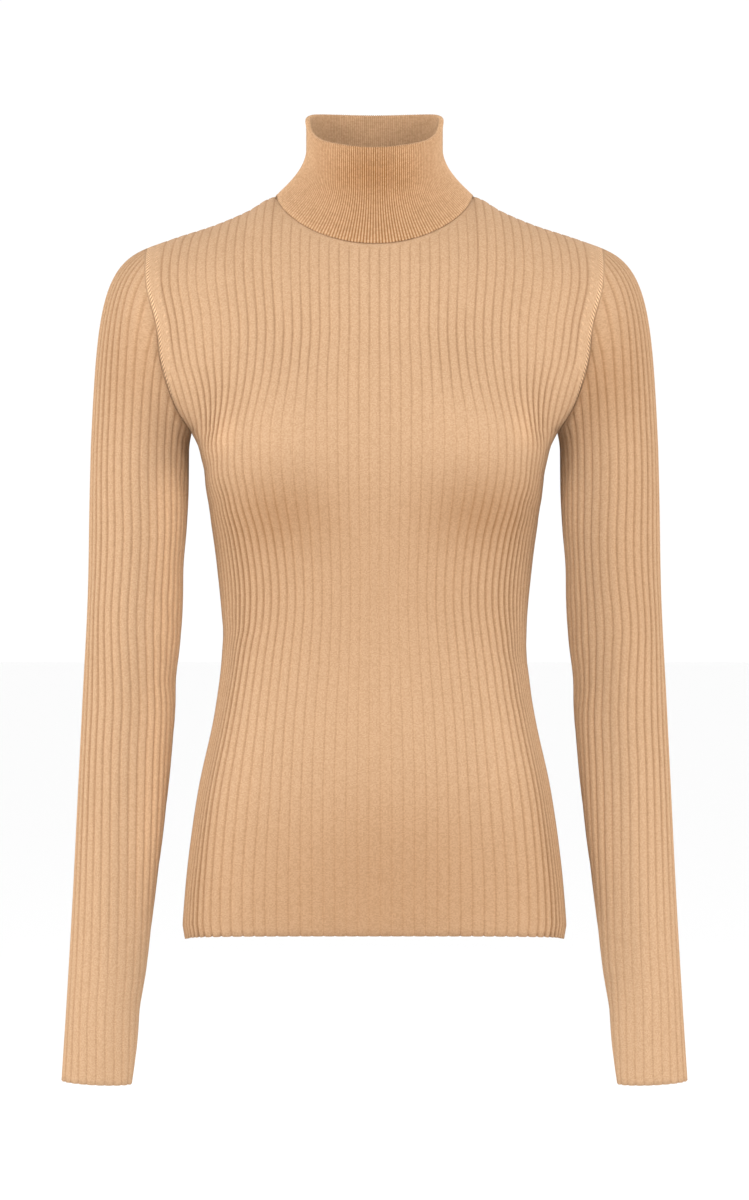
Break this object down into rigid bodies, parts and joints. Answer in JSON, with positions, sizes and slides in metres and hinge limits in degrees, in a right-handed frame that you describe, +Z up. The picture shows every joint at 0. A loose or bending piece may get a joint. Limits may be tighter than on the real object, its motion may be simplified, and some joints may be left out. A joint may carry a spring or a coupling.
{
  "type": "turtleneck sweater",
  "caption": "Slim long-sleeved turtleneck sweater in a wide flat rib with a fine-rib roll collar, filled out as worn, hollow and open at neck, hem and cuffs.",
  "frame": {"origin": "middle of the neck base, level with the side neck points, where the wearer's neck and shoulders hold the sweater", "axes": "+Z up, -Y out of the front, +X towards the wearer's left sleeve"},
  "size_m": [0.5094, 0.2242, 0.7995],
  "materials": {
    "wide_rib": "camel wide flat rib knit, matt with a faint nap",
    "fine_rib": "camel fine one-by-one rib knit, matt with a faint nap"
  },
  "bodies": {
    "root": {"front": "wide_rib", "back": "wide_rib", "sleeve_left": "wide_rib", "sleeve_right": "wide_rib", "collar": "fine_rib"}
  },
  "joints": []
}
